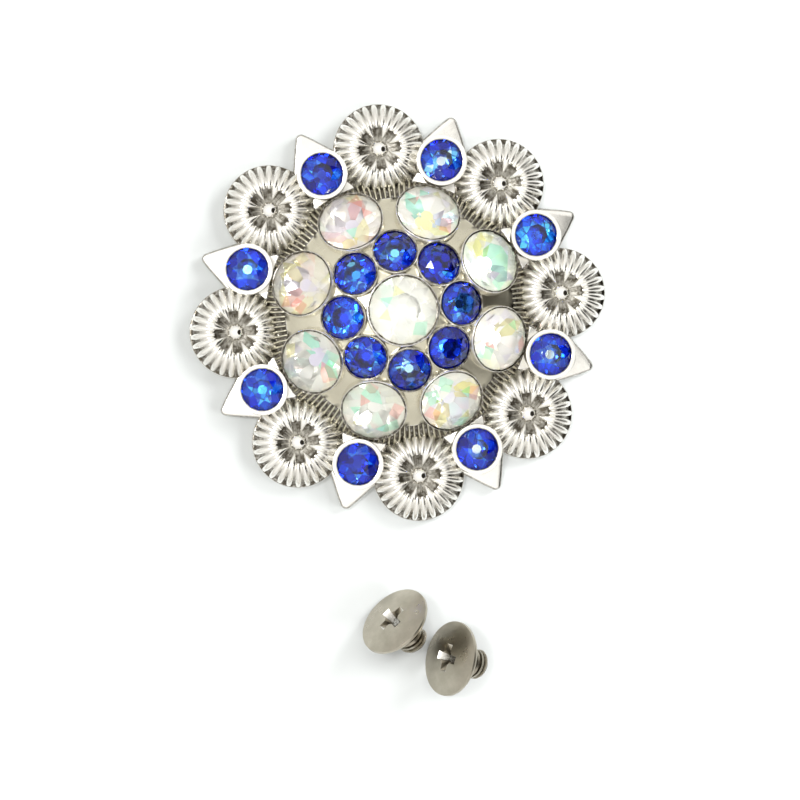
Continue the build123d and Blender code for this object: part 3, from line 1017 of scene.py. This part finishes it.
# %% Tree: stones in their cups
def stone_tree():
    tree, given = new_tree("Set stones", [
        ("Stone", "Object"), ("Count", "Int", 8), ("Pitch", "Float", 0.01),
        ("Height", "Float", 0.002), ("Lean", "Float", 0.0), ("First Angle", "Float", 0.0),
        ("Spin", "Float", 3.0), ("Tilt", "Float", 0.02), ("Seed", "Int", 1),
        ("Most Tint", "Float", 1.0), ("Glass", "Material"), ("Foil", "Material"),
    ])
    stone = add_node(tree, "GeometryNodeObjectInfo", {"Object": given["Stone"]})
    angle = angle_of_copy(tree, given)
    away = add_node(tree, "ShaderNodeCombineXYZ", {"X": given["Pitch"], "Z": given["Height"]})
    place = add_node(tree, "ShaderNodeVectorRotate", {"Vector": away, "Angle": angle},
                     rotation_type="Z_AXIS")
    points = add_node(tree, "GeometryNodePoints", {"Count": given["Count"], "Position": place})
    facing = add_node(tree, "ShaderNodeCombineXYZ", {"Y": given["Lean"], "Z": angle})
    least = calc(tree, "MULTIPLY", given["Tilt"], -1.0)
    sway_seed = calc(tree, "ADD", given["Seed"], 50.0)
    spin_seed = calc(tree, "ADD", given["Seed"], 90.0)
    own = add_node(tree, "ShaderNodeCombineXYZ", {
        "X": random_between(tree, least, given["Tilt"], given["Seed"]),
        "Y": random_between(tree, least, given["Tilt"], sway_seed),
        "Z": random_between(tree, 0.0, given["Spin"], spin_seed)})
    turned_stone = add_node(tree, "FunctionNodeRotateRotation", {0: facing, 1: own},
                            rotation_space="LOCAL")
    copies = add_node(tree, "GeometryNodeInstanceOnPoints", {
        "Points": points, "Instance": stone.outputs["Geometry"], "Rotation": turned_stone})
    real = add_node(tree, "GeometryNodeRealizeInstances", {0: copies})
    tint = random_between(tree, 0.0, given["Most Tint"], given["Seed"])
    tinted = add_node(tree, "GeometryNodeStoreNamedAttribute", {
        "Geometry": real, "Name": "facet", "Value": tint}, data_type="FLOAT", domain="FACE")
    front = add_node(tree, "GeometryNodeSetMaterial", {
        "Geometry": tinted, "Material": given["Glass"]})
    foiled = add_node(tree, "GeometryNodeInputNamedAttribute", {"Name": "foiled"},
                      data_type="BOOLEAN")
    return close_tree(tree, add_node(tree, "GeometryNodeSetMaterial", {
        "Geometry": front, "Selection": foiled, "Material": given["Foil"]}))


setting_tree = stone_tree()
print("tree", setting_tree.name)

# %% Set every stone
def set_stones(label, name, front, back, seed, most_tint=1.0):
    """Bakes a ring of stones, each in its cup. With most_tint below 1, fewer facets are tinted."""
    ring = settings[label]
    stone = brilliant("stone", ring.radius)
    made = bake_tree(name, setting_tree, {
        "Stone": stone, "Count": ring.count, "Pitch": ring.pitch * mm, "Height": ring.height * mm,
        "Lean": ring.lean, "First Angle": radians(ring.first), "Spin": 6.28,
        "Tilt": radians(0.6), "Seed": seed, "Most Tint": most_tint, "Glass": front, "Foil": back})
    drop(stone)
    return made


stones = {
    "centre_crystal": set_stones("centre_crystal", "centre_stone", pale_front, pale_back, 5, 0.72),
    "ring_crystal": set_stones("ring_crystal", "pale_ring", pale_front, pale_back, 11),
    "inner_stone": set_stones("inner_stone", "blue_inner_ring", blue_front, blue_back, 2073),
    "outer_stone": set_stones("outer_stone", "blue_outer_ring", blue_front, blue_back, 1431),
}
for label, piece in stones.items():
    print(piece.name, len(piece.data.polygons), "facets",
          [m.name for m in piece.data.materials])

# %% [markdown]
# # The back screws
# Each screw has a wide thin domed head with a cross recess and a short threaded shank. It lies on
# the edge of its head and the end of its shank, so its dip follows from those sizes. The head is
# turned and a tapered cross is cut out of it. The faces in that cross that face up take the bright
# nickel as a painted highlight, while the head itself is satin. Shade is painted on the floor of
# the recess and in the thread.

# %% Punch for the recess
head_radius, head_rim, head_crown, recess_depth = 3.55, 0.4, 0.45, 0.78
shank_radius, shank_length, shank_bevel = 1.45, 3.5, 0.2
head_sphere = (head_radius ** 2 + head_crown ** 2) / (2 * head_crown)
core_radius, neck_radius = 1.24, 1.75


def head_skin(reach):
    """Height of the head's domed top at a distance from its axis."""
    return head_rim + head_crown - head_sphere + sqrt(head_sphere ** 2 - reach ** 2)


def cross_punch():
    """Tapered cross that makes the recess, from above the head down to its floor."""
    top = head_rim + head_crown
    blades = []
    for turn in (0, 90):
        levels = []
        for height, half, wide in ((top - recess_depth, 0.45, 0.26), (top + 0.3, 1.75, 0.44)):
            levels.append(([(-half, -wide), (half, -wide), (half, wide), (-half, wide)], height))
        blade = stack("blade", levels)
        blade.data.transform(Matrix.Rotation(radians(turn), 4, "Z"))
        blades.append(blade)
    cone = turned("cone", [(0, top - recess_depth - 0.03), (0.45, top - recess_depth),
                           (0.85, top + 0.3), (0, top + 0.3)], sides=24)
    return blades + [cone]


print("head of", 2 * head_radius, "mm with a recess", recess_depth, "mm deep")

# %% One screw
def painted_recess_highlight(place, normal):
    """Painted highlight: faces inside the cross that face up take the bright finish."""
    return 1 if normal.z > 0.5 and 0.01 < place.z < head_skin(place.xy.length) - 0.1 else 0


def build_screw(name):
    """A screw on its own axis, head up, with the underside of the head at height 0."""
    rim = [(head_radius, 0.1), (head_radius, head_rim - 0.06), (head_radius - 0.03, head_rim)]
    cap = []
    for k in range(1, 13):
        reach = (head_radius - 0.03) * (1 - k / 12)
        cap.append((reach, head_skin(reach)))
    head = turned("head", [(0, 0), (head_radius - 0.08, 0)] + rim + cap, sides=96, crease=50.0)
    for punch in cross_punch():
        cut(head, punch)
        drop(punch)
    tidy(head.data, 40.0)
    paint(head, [screw_nickel, bright_nickel], painted_recess_highlight)
    shank = turned("shank", [
        (0, -shank_length), (1.05, -shank_length), (core_radius, shank_bevel - shank_length),
        (core_radius, -0.3), (1.4, -0.12), (neck_radius, 0.02), (0, 0.02)], sides=48)
    ridges = thread("screw_thread", core_radius, 0.18 - shank_length, shank_length - 0.55, 0.2)
    # Painted shade on the recess floor, on the shank's core and in the roots of the thread.
    mark_painted_shade(head, lambda p: 0.8 if 0.01 < p.z < 0.12 and p.xy.length < 1.45 else 0.0)
    mark_painted_shade(shank, lambda p: 1.0)
    mark_painted_shade(ridges, lambda p: 1.0 - (p.xy.length - 1.2) / 0.24)
    return joined(name, [head, shank, ridges])


print("shank of", 2 * shank_radius, "mm over the thread")

# %% Lay both screws down
# name, x, y, heading of the tip round from +X
screw_places = [("screw_1", -4.0, -29.1, -53.5), ("screw_2", 0.9, -33.2, -23.0)]
dip = atan((head_radius - shank_radius) / (shank_length - shank_bevel))
screws = {}
for node, x, y, heading in screw_places:
    piece = build_screw("back_" + node)
    place = Matrix.Translation(Vector((x, y, head_radius * cos(dip))) * mm)
    turn = Matrix.Rotation(radians(heading + 180), 4, "Z")
    lean = Matrix.Rotation(pi / 2 - dip, 4, "Y")
    piece.data.transform(place @ turn @ lean)
    screws[node] = piece
    print(node, len(piece.data.polygons), "faces, dip", round(degrees(dip), 1))

# %% [markdown]
# # Hand over to the frame
# Every piece rides on the one body and hides the frame's solids that it stands for.

# %% Ride and replace
drop(seats)
for piece in (shell, band, lobes, tabs, cups, posts):
    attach(piece, "root")
    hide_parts("cast_body")
for label, piece in stones.items():
    count = settings[label].count
    nodes = [label] if count == 1 else [f"{label}_{k}" for k in range(1, count + 1)]
    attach(piece, "root")
    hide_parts(*nodes)
for node, piece in screws.items():
    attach(piece, "root")
    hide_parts(node)
